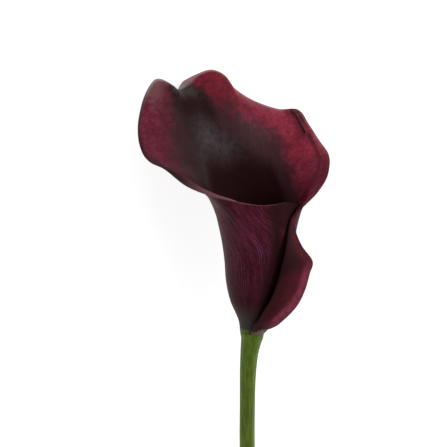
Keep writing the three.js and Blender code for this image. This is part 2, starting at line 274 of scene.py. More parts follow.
# a face belongs to the cut end where it faces along the stem by this much and lies this near to its end
CUT_FACING = 0.6
CUT_REACH = 2
# corners of the stem sharper than this stay sharp, in degrees
SHARP_ANGLE = 40

# the spadix: radius by height over the spathe's base
SPADIX = [(4.5, 2.1), (6, 2.5), (10, 3.0), (18, 3.3), (28, 3.3), (38, 2.9), (44, 2.3), (47, 1.6), (48.6, 0.6)]
# how many waves the crossing spiral rows make from its foot to its tip
SPIRAL_WAVES = 16
# how blunt the florets are, and over what length they fade at both ends
FLORET_BLUNT = 0.7
FLORET_FADE = 2

# patterns of the stem's skin and cut end and of the spadix, by how many there are to a metre
SKIN_STREAKS = (900, 18, 900)
SKIN_CLOUDS = (120, 40, 120)
CUT_STRANDS = 1300
CUT_CLOUDS = 700
FLORET_GRAIN = 1500
# how deep they stand in the surface
STEM_RELIEF = 0.05 * MM
FLORET_RELIEF = 0.1 * MM

# the middle of the picture on the table, from the spathe's base
VIEW_CENTRE = (-11.4, 43.8)
# the soft lights: name, place, side and power, all turned towards one target, in metres and watts
LIGHT_TARGET = (0.0, 0.06, 0.02)
SOFTBOXES = [
    ("mouth_softbox", (0.1, 0.85, 0.6), 0.7, 1.5),
    ("right_softbox", (0.84, 0.24, 0.66), 0.7, 5.6),
    ("left_softbox", (-0.8, -0.1, 0.75), 0.6, 2.5),
]
# the room's light is this bright at the horizon, and changes to the settings' light over this rise
HORIZON_LIGHT = 0.8
HORIZON = (0.06, 0.16)

RISE = math.radians(AXIS_RISE)
ACROSS = np.array([1.0, 0.0, 0.0])
AXIS = np.array([0.0, math.cos(RISE), math.sin(RISE)])
FRONT = np.array([0.0, -math.sin(RISE), math.cos(RISE)])
BASE = np.array([0.0, 0.0, BASE_HEIGHT])


def ramp(a, b, x):
    """0 before a, 1 past b, and an even slope between."""
    return np.clip((x - a) / (b - a), 0, 1)


def rise(a, b, x):
    """0 before a, 1 past b, and a smooth rise between."""
    t = ramp(a, b, x)
    return t * t * (3 - 2 * t)


def in_zone(x, bounds):
    """0 outside the four bounds, 1 between the middle two, and smooth between."""
    start, full, fading, end = bounds
    return rise(start, full, x) * (1 - rise(fading, end, x))


def through(table, x):
    """A smooth curve through a table of position and value rows."""
    xs, ys = np.array(table, float).T
    last = len(xs) - 1
    before = np.maximum(np.arange(last + 1) - 1, 0)
    after = np.minimum(np.arange(last + 1) + 1, last)
    slope = (ys[after] - ys[before]) / (xs[after] - xs[before])
    i = np.clip(np.searchsorted(xs, x) - 1, 0, last - 1)
    step = xs[i + 1] - xs[i]
    t = np.clip((x - xs[i]) / step, 0, 1)
    return ((1 + 2 * t) * (1 - t) ** 2 * ys[i] + t * (1 - t) ** 2 * step * slope[i]
            + t * t * (3 - 2 * t) * ys[i + 1] + t * t * (t - 1) * step * slope[i + 1])


def between(table, place):
    """The values between the rows of a table, on a smooth curve through them, at a place counted in rows."""
    rows = np.array(table, float)
    last = len(rows) - 1
    rows = np.vstack([2 * rows[0] - rows[1], rows, 2 * rows[-1] - rows[-2]])
    at = min(max(place, 0), last)
    i = min(int(at), last - 1)
    t = at - i
    a, b, c, d = rows[i:i + 4]
    return b + 0.5 * t * (c - a + t * (2 * a - 5 * b + 4 * c - d + t * (3 * b - 3 * c + d - a)))


def flower_point(across, forward, up):
    """A point from the flower's own directions: across, forward and up its axis."""
    across, forward, up = np.broadcast_arrays(across, forward, up)
    return BASE + across[..., None] * ACROSS + forward[..., None] * FRONT + up[..., None] * AXIS


def wall_point(angle, height):
    """A point of the rolled wall, at an angle in degrees round the axis and a height over the base."""
    radius = through(WALL_RADIUS, height) - INNER_DIP * (1 - rise(*INNER_END, angle))
    radius = radius + OUTER_RISE * rise(*OUTER_WRAP, angle)
    radius = radius + OUTER_STAND_OFF * rise(*STAND_OFF_ROUND, angle) * rise(*STAND_OFF_UP, height)
    radius = radius + COLLAR_SPREAD * in_zone(angle, COLLAR_ROUND) * in_zone(height, COLLAR_UP)
    turn = np.radians(angle)
    return flower_point(through(WALL_DRIFT, height) + radius * np.cos(turn), radius * np.sin(turn), height)


def unit(vector):
    return vector / np.linalg.norm(vector)


def rib(row, share):
    """One rib of the spathe, up the wall from the base and then free to the edge.
    Returns its points at the given shares of its length, their bend, and how loose they are."""
    x, y, z, drop, lean, root, leave = row
    lip = in_zone(root, LIP_PLACE)
    edge = np.array([x, y + LIP_TURN * lip, z])
    from_base = edge - BASE
    up = from_base @ AXIS
    turned = math.degrees(math.atan2(from_base @ FRONT, x - through(WALL_DRIFT, min(up, WALL_TOP))))
    turned += 360 * round((root - turned) / 360)
    drift = RIB_DRIFT * (turned - root) * ramp(*DRIFT_STOPS, root)

    def wall(height):
        return wall_point(root + drift * (height / leave) ** 2, height)

    # the free part is a curve with four control points: start, second, third and edge
    start = wall(leave)
    leaving = unit(start - wall(leave - 0.5))
    span = edge - start
    reach = np.linalg.norm(span)
    sideways = unit(span - (span @ AXIS) * AXIS)
    outward = math.cos(math.radians(turned)) * ACROSS + math.sin(math.radians(turned)) * FRONT
    follow = ramp(*SIDEWAYS_LEAN, lean)
    outward = unit(outward * (1 - follow) + sideways * follow)
    tilt = math.radians(lean)
    arriving = AXIS * math.cos(tilt) + outward * math.sin(tilt)
    stiffer = LAPEL_STIFFER * rise(*LAPEL_PLACE, root)
    second = start + leaving * (LEAVING + stiffer) * reach
    third = edge - arriving * (ARRIVING + stiffer) * reach
    length = leave + RIB_STRETCH * reach
    along = share * length
    t = np.clip((along - leave) / (length - leave), 0, 1)[:, None]
    free = (1 - t) ** 3 * start + 3 * (1 - t) ** 2 * t * second + 3 * (1 - t) * t * t * third + t ** 3 * edge
    points = np.where(t > 0, free, wall(np.minimum(along, leave)))

    # the bend of the edge, of the front lip and of the lapel's fold
    width = EDGE_WIDTH + EDGE_WIDER * rise(*WIDER_BY_DROP, drop)
    near = np.clip(1 - (length - along) / width, 0, 1)
    bent = (near * near * (1 + EDGE_CURVE - EDGE_CURVE * near))[:, None]
    bend = np.array([0.0, -EDGE_TURN * rise(*TURN_BY_DROP, drop), -drop]) * bent
    lip_near = np.clip(1 - (length - along) / LIP_WIDTH, 0, 1)[:, None]
    bend = bend + np.array([0.0, -LIP_TURN, -LIP_DROP]) * lip * lip_near ** LIP_CURVE
    t = t[:, 0]
    bend = bend + (FOLD_ROUND * rise(*FOLD_PLACE, root) * np.sin(math.pi * t) ** 2)[:, None] * FRONT
    return points, bend, rise(0, FREE_END, t) * rise(0, FREE_END, 1 - t)


def distance_to_line(points, line):
    """How far points lie from a line of straight stretches, seen from above.
    It is over 0 on the line's left and below 0 on its right."""
    best = np.full(points.shape[:-1], np.inf)
    for a, b in zip(np.array(line[:-1]), np.array(line[1:])):
        step = b - a
        away = points - a
        share = np.clip(away @ step / (step @ step), 0, 1)
        distance = np.linalg.norm(away - share[..., None] * step, axis=-1)
        left = np.where(step[0] * away[..., 1] - step[1] * away[..., 0] > 0, 1, -1)
        best = np.where(distance < np.abs(best), distance * left, best)
    return best


def sheet_normals(sheet):
    """The directions square to the sheet, on its inner side."""
    across = np.gradient(sheet, axis=0)
    up = np.gradient(sheet, axis=1)
    normals = np.cross(up, across)
    return normals / np.linalg.norm(normals, axis=-1, keepdims=True)


def press_folds(sheet, roots):
    """Presses the pleat and the crease of the right lobe into the sheet."""
    plan = sheet[..., :2]
    depth = PLEAT_DEPTH * np.exp(-(distance_to_line(plan, PLEAT) / PLEAT_WIDTH) ** 2)
    depth = depth + CREASE_DEPTH * np.exp(-(distance_to_line(plan, CREASE) / CREASE_WIDTH) ** 2)
    right = in_zone(roots, RIGHT_LOBE)[:, None]
    return sheet - (right * depth)[..., None] * sheet_normals(sheet)


def spathe_sheet(columns, rows):
    """The spathe's middle surface as a grid of points, and each column's place round the wall."""
    v = np.linspace(0, 1, rows)
    share = v * (1 + ROW_CROWDING - ROW_CROWDING * v * v)
    sheet = np.zeros((columns, rows, 3))
    roots = np.zeros(columns)
    for i in range(columns):
        place = (len(EDGE) - 1) * i / (columns - 1)
        own, bend, loose = rib(between(EDGE, place), share)
        mean = sum(weight * rib(between(EDGE, place + step), share)[0] for step, weight in NEIGHBOURS)
        roots[i] = between(EDGE, place)[5]
        evened = (in_zone(roots[i], FLARED_PLACE) * loose)[:, None]
        sheet[i] = own + evened * (mean - own) + bend
    return press_folds(sheet, roots), roots


def placed(points):
    """From millimetres from the spathe's base to metres in the frame."""
    return (points + np.array([*PLACE, 0.0])) * MM


def deselect_all():
    if bpy.context.object and bpy.context.object.mode != "OBJECT":
        bpy.ops.object.mode_set(mode="OBJECT")
    bpy.ops.object.select_all(action="DESELECT")


def select_only(piece):
    deselect_all()
    piece.select_set(True)
    bpy.context.view_layer.objects.active = piece


def set_points(piece, points):
    piece.data.vertices.foreach_set("co", np.ascontiguousarray(points, dtype=np.float32).ravel())
    piece.data.update()


def add_attribute(piece, name, values):
    layer = piece.data.attributes.new(name, "FLOAT", "POINT")
    layer.data.foreach_set("value", np.ascontiguousarray(values, dtype=np.float32).ravel())


def apply_modifiers(piece):
    select_only(piece)
    for modifier in list(piece.modifiers):
        bpy.ops.object.modifier_apply(modifier=modifier.name)


def rest_on_table(piece):
    """Flattens what reaches the table, so nothing goes under it."""
    points = np.zeros(len(piece.data.vertices) * 3)
    piece.data.vertices.foreach_get("co", points)
    points = points.reshape(-1, 3)
    points[points[:, 2] < TABLE_REACH * MM, 2] = 0
    set_points(piece, points)


def finish_piece(piece, node):
    select_only(piece)
    bpy.ops.object.shade_smooth()
    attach(piece, "root")
    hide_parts(node)


def colour_property(name, description, default):
    return FloatVectorProperty(name=name, description=description, default=default, subtype="COLOR")


class Shader:
    """A material being built: each call adds its nodes and returns their output."""

    def __init__(self, name):
        self.material = bpy.data.materials.new(name)
        self.material.use_nodes = True
        self.tree = self.material.node_tree
        self.surface = self.tree.nodes["Principled BSDF"]

    def node(self, kind, **settings):
        node = self.tree.nodes.new(kind)
        for name, value in settings.items():
            setattr(node, name, value)
        return node

    def feed(self, socket, value):
        if isinstance(value, bpy.types.NodeSocket):
            self.tree.links.new(value, socket)
        elif socket.type == "RGBA":
            socket.default_value = (*value, 1)
        else:
            socket.default_value = value

    def attribute(self, name):
        return self.node("ShaderNodeAttribute", attribute_name=name).outputs["Fac"]

    def uv(self):
        return self.node("ShaderNodeUVMap", uv_map="leaf").outputs["UV"]

    def object_place(self):
        return self.node("ShaderNodeTexCoord").outputs["Object"]

    def scaled(self, vector, scale):
        node = self.node("ShaderNodeMapping")
        self.feed(node.inputs["Vector"], vector)
        node.inputs["Scale"].default_value = scale
        return node.outputs["Vector"]

    def noise(self, vector, scale=1.0, detail=3.0, roughness=0.5):
        node = self.node("ShaderNodeTexNoise")
        self.feed(node.inputs["Vector"], vector)
        node.inputs["Scale"].default_value = scale
        node.inputs["Detail"].default_value = detail
        node.inputs["Roughness"].default_value = roughness
        return node.outputs["Fac"]

    def cells(self, vector, scale=1.0, feature="DISTANCE_TO_EDGE"):
        node = self.node("ShaderNodeTexVoronoi", feature=feature)
        self.feed(node.inputs["Vector"], vector)
        node.inputs["Scale"].default_value = scale
        return node.outputs["Distance"]

    def math(self, operation, a, b=0.0, clamp=False):
        node = self.node("ShaderNodeMath", operation=operation, use_clamp=clamp)
        self.feed(node.inputs[0], a)
        self.feed(node.inputs[1], b)
        return node.outputs[0]

    def times(self, *values):
        """The product of the values."""
        product = values[0]
        for value in values[1:]:
            product = self.math("MULTIPLY", product, value)
        return product

    def largest(self, *values):
        """The largest of the values."""
        best = values[0]
        for value in values[1:]:
            best = self.math("MAXIMUM", best, value)
        return best

    def rest_of(self, share):
        return self.math("SUBTRACT", 1.0, share)

    def stray(self, value, noise, width):
        """The value, moved to either side by a noise, over this width in all."""
        return self.math("ADD", value, self.times(self.math("SUBTRACT", noise, 0.5), width))

    def remap(self, value, low, high, to_low=0.0, to_high=1.0):
        node = self.node("ShaderNodeMapRange", interpolation_type="SMOOTHSTEP")
        self.feed(node.inputs["Value"], value)
        for name, bound in (("From Min", low), ("From Max", high), ("To Min", to_low), ("To Max", to_high)):
            node.inputs[name].default_value = bound
        return node.outputs["Result"]

    def zone(self, value, bounds):
        """Sets in at the first bound, is 1 from the second to the third and has faded to 0 at the fourth."""
        start, full, fading, end = bounds
        return self.times(self.remap(value, start, full), self.remap(value, end, fading))

    def mix_value(self, share, a, b):
        node = self.node("ShaderNodeMix", data_type="FLOAT")
        for name, value in (("Factor", share), ("A", a), ("B", b)):
            self.feed(node.inputs[name], value)
        return node.outputs["Result"]

    def mix(self, share, a, b):
        node = self.node("ShaderNodeMix", data_type="RGBA")
        self.feed(node.inputs["Factor"], share)
        self.feed(node.inputs[6], a)
        self.feed(node.inputs[7], b)
        return node.outputs[2]

    def over(self, under, colour, *shares):
        """Lays a colour over what is under it, as strongly as the product of the shares."""
        return self.mix(self.times(*shares), under, colour)

    def finish(self, colour, roughness, specular=0.5):
        self.feed(self.surface.inputs["Base Color"], colour)
        self.feed(self.surface.inputs["Roughness"], roughness)
        self.surface.inputs["Specular IOR Level"].default_value = specular

    def bump(self, height, depth):
        node = self.node("ShaderNodeBump")
        node.inputs["Distance"].default_value = depth
        node.inputs["Strength"].default_value = 1.0
        self.feed(node.inputs["Height"], height)
        self.feed(self.surface.inputs["Normal"], node.outputs["Normal"])


def vein_lines(shader, count, wander, sweep=None):
    """Fine lines that follow the ribs, some stronger than others: up to 1 on a vein and 0 between.
    The count is of veins in a full turn, and they wander by as many veins. The sweep is how far they
    have moved round the wall, in turns."""
    uv = shader.uv()
    if sweep:
        shift = shader.node("ShaderNodeCombineXYZ")
        shader.feed(shift.inputs["X"], sweep)
        move = shader.node("ShaderNodeVectorMath", operation="SUBTRACT")
        shader.feed(move.inputs[0], uv)
        shader.feed(move.inputs[1], shift.outputs[0])
        uv = move.outputs[0]
    split = shader.node("ShaderNodeSeparateXYZ")
    shader.feed(split.inputs[0], uv)
    sway = shader.noise(shader.scaled(uv, VEIN_SWAY), detail=2.0)
    turn = shader.math("ADD", shader.times(split.outputs["X"], count), shader.times(sway, wander))
    line = shader.remap(shader.math("PINGPONG", turn, 0.5), 0.2, 0.44)
    # the lines come and go along their length, and a faint net joins them
    streak = shader.noise(shader.scaled(uv, (count * 0.45, 8, 1)))
    line = shader.times(line, shader.remap(streak, 0.4, 0.62))
    net = shader.remap(shader.cells(shader.scaled(uv, (count * 1.5, 20, 1))), 0.1, 0.02, 0.0, 0.35)
    return shader.largest(line, net)


def spathe_outside(colours):
    """Deep purple with fine magenta veins, a painted brown-black shade beside the lapel and grey at the base.
    Along is in millimetres up the leaf from its base, edge in millimetres in from the free edge, and
    around in degrees round the wall."""
    shader = Shader("spathe_outside")
    remap, zone, times, over, mix = shader.remap, shader.zone, shader.times, shader.over, shader.mix
    uv = shader.uv()
    along = shader.attribute("along_mm")
    around = shader.attribute("around_deg")
    edge = shader.attribute("edge_mm")
    sweep = times(zone(around, UNDER_RIM), remap(along, 34, 60, 0.0, VEIN_SWEEP / 360))
    veins = vein_lines(shader, *OUTER_VEINS, sweep)
    patches = shader.noise(shader.scaled(uv, OUTER_PATCHES), detail=4.0)
    streaks = shader.noise(shader.scaled(uv, OUTER_STREAKS))
    grain = shader.noise(shader.object_place(), OUTER_GRAIN)

    # the purple ground, darker low down and on the left side
    purple = times(shader.math("ADD", patches, streaks), 0.6)
    colour = mix(remap(purple, 0.42, 0.75), colours.outside_dark, colours.outside)
    colour = over(colour, colours.outside_dark, remap(along, 38, 16, 0.0, 0.75))
    colour = over(colour, colours.outside_dark, zone(around, LEFT_SIDE), 0.3)

    # painted shade beside the lapel, wider low down and narrower near the rim, red-brown deep in the cleft
    valley_shade = shader.math("SUBTRACT", around, remap(along, 44, 18, 0.0, 18.0))
    valley_shade = shader.math("ADD", valley_shade, remap(edge, 16, 5, 0.0, 9.0))
    valley_shade = times(remap(valley_shade, 67, 44), remap(around, -75, -66))
    crevice_shade = times(remap(around, 44, 28), remap(edge, 9, 14))
    shade = times(valley_shade, 0.9)
    colour = over(colour, mix(crevice_shade, colours.valley_shade, colours.crevice_shade), shade)

    # the veins, strongest in front and halfway up, with a painted highlight of paler purple on them in the middle
    # of the front, and faded in the painted shade
    strength = times(
        remap(patches, 0.3, 0.55, 0.45, 1.0),
        remap(along, 5, 36, 0.1, 1.0),
        remap(along, 64, 46, 0.4, 1.0),
        shader.mix_value(zone(around, FRONT_VEINS), 0.15, 1.0),
        shader.rest_of(shade),
    )
    lilac_highlight = times(zone(around, LILAC_HIGHLIGHT_ROUND), zone(along, LILAC_HIGHLIGHT_UP))
    colour = over(colour, mix(lilac_highlight, colours.vein, colours.lilac_highlight), veins, strength)
    colour = over(colour, colours.outside_dark, remap(grain, 0.4, 0.75, 0.0, 0.3))

    # grey at the base, green where the leaf leaves the stem, pink-grey under the lapel
    lowest = shader.math("ADD", along, times(patches, 10))
    colour = over(colour, colours.base_grey, remap(lowest, 21, 5, 0.0, 0.8))
    colour = over(colour, colours.foot, remap(along, 2.2, 0.9), zone(around, LEAF_FOOT))
    collar = times(remap(around, 372, 392), remap(along, 16, 8))
    colour = over(colour, colours.collar, collar, remap(grain, 0.3, 0.6, 0.6, 1.0))

    # painted shade: a dark line along the flared part of the edge, where it turns away
    line = remap(edge, 1.6, 0.5, 0.0, 0.8)
    colour = over(colour, colours.edge, line, zone(around, OUTER_EDGE_SHADE))
    shader.finish(colour, shader.mix_value(valley_shade, *OUTER_ROUGHNESS), 0.08)
    shader.bump(shader.math("ADD", veins, times(streaks, 1.5)), VEIN_DEPTH)
    return shader.material


def spathe_inside(colours):
    """Red towards the free edge, a grey back that is partly the leaf's waxy coat and partly a painted sheen, and
    brown-black in the throat.
    Edge is in millimetres in from the free edge, blush in millimetres inside the red's border, and around
    in degrees round the wall."""
    shader = Shader("spathe_inside")
    remap, zone, times, over, mix = shader.remap, shader.zone, shader.times, shader.over, shader.mix
    place = shader.object_place()
    edge = shader.attribute("edge_mm")
    blush = shader.attribute("blush_mm")
    around = shader.attribute("around_deg")
    veins = vein_lines(shader, *INNER_VEINS)
    fine = shader.noise(place, FINE_SPOTS, 2.5, 0.55)
    cloud = shader.noise(place, CLOUDS)
    mottle = shader.mix_value(0.45, fine, cloud)

    # the red's ragged border, sharper on the right
    right_half = zone(around, RIGHT_HALF)
    reach = shader.stray(shader.stray(blush, cloud, 9), fine, 10)
    reach = shader.math("SUBTRACT", reach, times(right_half, 3.4))
    softness = shader.mix_value(right_half, 8.5, 7.0)
    red = remap(shader.math("DIVIDE", shader.math("ADD", reach, 1.0), softness), -1.0, 1.0)

    # the reds by their place: mauve on the left, warm on the top lobe, brightest on the right lobe as painted
    # light, darker low down
    bright = mix(remap(around, 196, 232), colours.blush_left, colours.blush)
    bright = over(bright, colours.blush_top, zone(around, TOP_LOBE))
    low_left = times(remap(around, 182, 156), remap(edge, 3, 12))
    low = shader.largest(low_left, zone(around, LOW_RIGHT))
    bright = over(bright, colours.blush_dark, low, 0.6)
    inner_left = times(remap(around, 205, 190), remap(edge, 6, 15, 0.0, 0.4))
    bright = over(bright, colours.blush_dark, inner_left)
    bright = over(bright, colours.lit_blush_right, zone(around, LIT_RIGHT_LOBE))
    outer_strip = times(zone(around, OUTER_STRIP), remap(edge, 6.5, 4.5, 0.0, 0.3))
    bright = over(bright, colours.blush_dark, outer_strip)

    # the lapel: dark towards its fold, pink along its edge and at its foot
    lapel = remap(around, 385, 402)
    inner_lapel = times(lapel, remap(shader.math("ADD", edge, times(cloud, 4)), 3.5, 8))
    bright = over(bright, colours.lapel_dark, inner_lapel)
    lapel_edge = times(remap(around, 405.4, 407.2), remap(edge, 4.6, 1.6, 0.0, 0.85))
    bright = over(bright, colours.pink, lapel_edge)
    bright = over(bright, colours.pink, zone(around, LAPEL_FOOT), remap(edge, 7, 3))
    bright = over(bright, colours.fold, remap(around, 432, 442))

    # the red's own pattern: mottle, pink specks and the dark lines of a net of cells
    bright = over(bright, colours.blush_dark, remap(mottle, 0.38, 0.62, 0.5, 0.0))
    specks = remap(shader.noise(place, SPECKS, 2.0), 0.52, 0.68, 0.0, 0.2)
    bright = over(bright, colours.pink, specks, shader.rest_of(inner_lapel))
    bright = over(bright, colours.blush_dark, remap(shader.cells(place, CELLS), 0.16, 0.02), 0.3)

    # the dark colours: grey on the back, partly the leaf's waxy coat and partly a painted sheen, throat, mist
    # before the reds, and the midrib out to the tip
    throat = remap(shader.attribute("throat_mm"), -10, 6)
    bloom_and_sheen = times(zone(edge, BLOOM_SHEEN_IN), zone(around, BLOOM_SHEEN_ROUND))
    bloom_and_sheen = times(bloom_and_sheen, remap(mottle, 0.38, 0.62, 0.45, 1.0))
    deep = mix(bloom_and_sheen, colours.inside, colours.bloom_and_sheen)
    deep = over(deep, colours.throat, remap(fine, 0.56, 0.4, 0.0, 0.3))
    deep = over(deep, colours.throat, throat)
    deep = over(deep, colours.fold, lapel)
    misty = shader.stray(blush, cloud, 6)
    deep = over(deep, colours.mist, right_half, remap(misty, -15, -6, 0.0, 0.7))
    deep = over(deep, colours.mist, zone(around, LEFT_MIST), remap(misty, -22, -8, 0.0, 0.5))
    deep = over(deep, colours.throat, zone(around, MIDRIB), remap(edge, 31, 24), 0.85)
    colour = mix(red, deep, bright)

    # painted shade at the waist where the leaf narrows above the lapel
    within = shader.math("SUBTRACT", edge, remap(around, 402, 408, 0.0, 6.0))
    waist = times(zone(around, WAIST_SHADE), remap(within, 0.0, 3.5, 0.68, 0.92))
    colour = over(colour, colours.valley_shade, waist)
    colour = over(colour, colours.blush_dark, veins, 0.1)

    # painted sheen on the curled tip and where the leaf curls back beside it, darker towards the edge, and the
    # front lip's mauve, partly its own colour and partly a painted sheen
    ragged = shader.stray(around, fine, 14)
    colour = over(colour, colours.tip, zone(ragged, TIP_SHEEN), remap(edge, 12, 5, 0.0, 0.85))
    notch_sheen = mix(remap(edge, 7, 1.5, 0.0, 0.8), colours.notch_sheen, colours.sliver_shade)
    colour = over(colour, notch_sheen, zone(ragged, NOTCH_SHEEN), remap(edge, 22, 15))
    lip = mix(remap(around, 108, 130), colours.lip, colours.lip_left)
    colour = over(colour, lip, zone(around, FRONT_LIP), remap(edge, 9, 4, 0.0, 0.9))

    # painted shade at the pleat: dark in its fold, a dark strip on one side and a lighter shade on both, and a
    # painted shadow line along the crease
    pleat = shader.attribute("pleat_mm")
    off_pleat = shader.math("ABSOLUTE", pleat)
    sliver_shade = times(zone(pleat, SLIVER_SHADE), remap(fine, 0.3, 0.55, 0.35, 1.0))
    colour = over(colour, colours.sliver_shade, sliver_shade, remap(around, 313, 304, 0.15, 0.9))
    colour = over(colour, colours.groove_shade, remap(off_pleat, 0.62, 0.15, 0.0, 0.9))
    beside = remap(off_pleat, 4.5, 1.5)
    colour = over(colour, colours.sliver_shade, beside, 0.3)
    off_crease = shader.math("ABSOLUTE", shader.attribute("crease_mm"))
    colour = over(colour, colours.blush_dark, remap(off_crease, 1.0, 0.1, 0.0, 0.62))

    # painted shade: a dark line along the free edge, broader at the angle of the right lobe's rim and at the tip's
    # hook
    corner_shade = times(zone(around, CORNER_SHADE), 1.3)
    wider = shader.math("ADD", corner_shade, times(zone(around, HOOK_SHADE), 6.0))
    line = remap(shader.math("SUBTRACT", edge, wider), 2.3, 1.1, 0.0, 0.9)
    free = shader.largest(zone(around, EDGE_SHADE_ROUND), remap(around, 60, 50))
    colour = over(colour, colours.edge, free, line)
    dull = shader.largest(throat, waist, beside, times(inner_lapel, 0.85))
    shader.finish(colour, shader.mix_value(dull, *INNER_ROUGHNESS), 0.1)
    shader.bump(shader.math("ADD", times(veins, 0.25), fine), SPOT_DEPTH)
    return shader.material


def spathe_rim(colours):
    """The cut of the free edge: a pale painted highlight along the front lip, the right lobe and the lapel, dimmed
    by painted shade at the neck, and dark with painted shade elsewhere.
    """
    shader = Shader("spathe_rim")
    grain = shader.noise(shader.object_place(), RIM_GRAIN)
    around = shader.attribute("around_deg")
    # painted highlight where the cut catches the light, less of it where painted shade falls at the neck
    light = shader.largest(shader.zone(around, RIM_FRONT_HIGHLIGHT), shader.remap(around, 306, 318))
    light = shader.math("SUBTRACT", light, shader.times(shader.zone(around, NECK_SHADE), 0.7), clamp=True)
    pale = shader.mix(grain, colours.rim, colours.outside)
    shader.finish(shader.mix(light, colours.edge, pale), 0.5, 0.2)
    return shader.material


class SpatheSettings(bpy.types.PropertyGroup):
    columns: IntProperty(
        name="Ribs", description="Columns of the leaf's mesh, from one free edge to the other", default=300, min=60)
    rows: IntProperty(
        name="Rows", description="Rows of the leaf's mesh, from the base to the edge", default=120, min=30)
    thickness: FloatProperty(
        name="Thickness", description="Thickness of the leaf at its base", default=0.85 * MM, unit="LENGTH")
    rim_share: FloatProperty(
        name="Rim share", description="The rim's thickness as a share of the base's",
        default=0.62, subtype="FACTOR")
    outside: colour_property("Outside", "Lighter purple of the outside", (0.08, 0.007, 0.016))
    outside_dark: colour_property("Outside, dark", "Deep purple of the outside", (0.03, 0.003, 0.006))
    vein: colour_property("Vein", "Magenta of the fine veins outside", (0.21, 0.034, 0.085))
    # painted highlight: the veins' paler purple where the light catches the middle of the front
    lilac_highlight: colour_property("Lilac", "Lilac of the veins in the middle", (0.22, 0.045, 0.125))
    # painted shade: brown-black beside the lapel and at the waist, and red-brown deep in the cleft below
    valley_shade: colour_property("Valley", "Brown-black beside the lapel and at the waist", (0.024, 0.005, 0.007))
    crevice_shade: colour_property("Crevice", "Red-brown deep beside the lapel", (0.09, 0.02, 0.028))
    base_grey: colour_property("Base", "Grey of the spathe's base", (0.058, 0.053, 0.05))
    foot: colour_property("Foot", "Green where the leaf leaves the stem", (0.1, 0.14, 0.03))
    collar: colour_property("Collar", "Pink-grey under the lapel", (0.16, 0.085, 0.09))
    inside: colour_property("Inside", "Nearly black brown of the funnel", (0.03, 0.014, 0.015))
    throat: colour_property("Throat", "Brown-black of the throat", (0.016, 0.002, 0.003))
    # partly the leaf's waxy coat and partly a painted sheen
    bloom_and_sheen: colour_property("Bloom", "Lilac-grey bloom of the back", (0.057, 0.041, 0.047))
    mist: colour_property("Mist", "Dull mauve before the reds", (0.068, 0.023, 0.03))
    blush: colour_property("Blush", "Bright red towards the edge", (0.275, 0.023, 0.05))
    blush_left: colour_property("Blush, left", "Mauve red of the left lobe", (0.225, 0.029, 0.06))
    blush_top: colour_property("Blush, top", "Warmer red of the top lobe", (0.235, 0.014, 0.03))
    # painted light: the right lobe's red made brighter where the light falls on it
    lit_blush_right: colour_property("Blush, right", "Brightest red, of the right lobe", (0.343, 0.029, 0.061))
    blush_dark: colour_property("Blush, dark", "Darker red in the blush", (0.08, 0.006, 0.015))
    lapel_dark: colour_property("Lapel, dark", "Deep red inside the lapel", (0.062, 0.003, 0.008))
    fold: colour_property("Fold", "Dark brown of the lapel's fold", (0.02, 0.01, 0.01))
    pink: colour_property("Pink", "Bright pink of the lapel's foot and of specks", (0.27, 0.044, 0.082))
    # the front lip's mauves: partly the leaf's own colour and partly a painted sheen
    lip: colour_property("Lip", "Mauve of the front lip", (0.17, 0.075, 0.09))
    lip_left: colour_property("Lip, left", "Dark mauve of the lip's left part", (0.036, 0.013, 0.018))
    # painted sheen on the curled tip
    tip: colour_property("Tip", "Pinkish grey of the curled tip", (0.196, 0.088, 0.09))
    # painted sheen where the tip curls back
    notch_sheen: colour_property("Notch", "Brownish grey where the tip curls back", (0.062, 0.046, 0.042))
    # painted shade beside the pleat
    sliver_shade: colour_property("Sliver", "Dark red beside the pleat", (0.032, 0.007, 0.01))
    # painted shade in the pleat's fold
    groove_shade: colour_property("Groove", "Brown-black in the pleat", (0.014, 0.006, 0.004))
    # painted shade: the dark line along the free edge, where it turns away from the light
    edge: colour_property("Edge", "Dark line along the free edge", (0.016, 0.004, 0.006))
    # painted highlight on the cut of the free edge
    rim: colour_property("Rim", "Pinkish cut of the free edge", (0.2, 0.07, 0.1))


class SpadixSettings(bpy.types.PropertyGroup):
    sides: IntProperty(name="Sides", description="Points round the spadix", default=120, min=24)
    rings: IntProperty(name="Rings", description="Rings along the spadix", default=160, min=24)
    florets_round: IntProperty(name="Florets round", description="Spiral rows of florets", default=13, min=5)
    floret_height: FloatProperty(
        name="Floret height", description="How far a floret stands out", default=0.3 * MM, unit="LENGTH")
    ochre: colour_property("Florets", "Ochre of the florets", (0.32, 0.17, 0.04))
    gap: colour_property("Gaps", "Brown between the florets", (0.07, 0.03, 0.012))


class StemSettings(bpy.types.PropertyGroup):
    sides: IntProperty(name="Sides", description="Points round the stem", default=64, min=12)
    rings: IntProperty(name="Rings", description="Rings along the stem", default=180, min=20)
    green: colour_property("Green", "Green of the stem's skin", (0.13, 0.2, 0.02))
    dark_green: colour_property("Dark green", "Darker lines of the skin", (0.07, 0.12, 0.013))
    pith: colour_property("Pith", "Pale green of the cut end", (0.36, 0.42, 0.2))


class StageSettings(bpy.types.PropertyGroup):
    floor_width: FloatProperty(name="Floor width", description="Side of the floor", default=6.0, unit="LENGTH")
    camera_height: FloatProperty(
        name="Camera height", description="Camera over the table", default=0.85, unit="LENGTH")
    lens: FloatProperty(name="Lens", description="Focal length in millimetres", default=165.1)
    floor_colour: colour_property("Floor", "Colour of the floor", (0.7, 0.7, 0.7))
    floor_glow: FloatProperty(
        name="Floor glow", description="Light that the floor gives off, as a light table does", default=0.73, min=0)
    room_light: FloatProperty(
        name="Room light", description="Soft light from above, dimmer than the pale horizon", default=0.25, min=0)


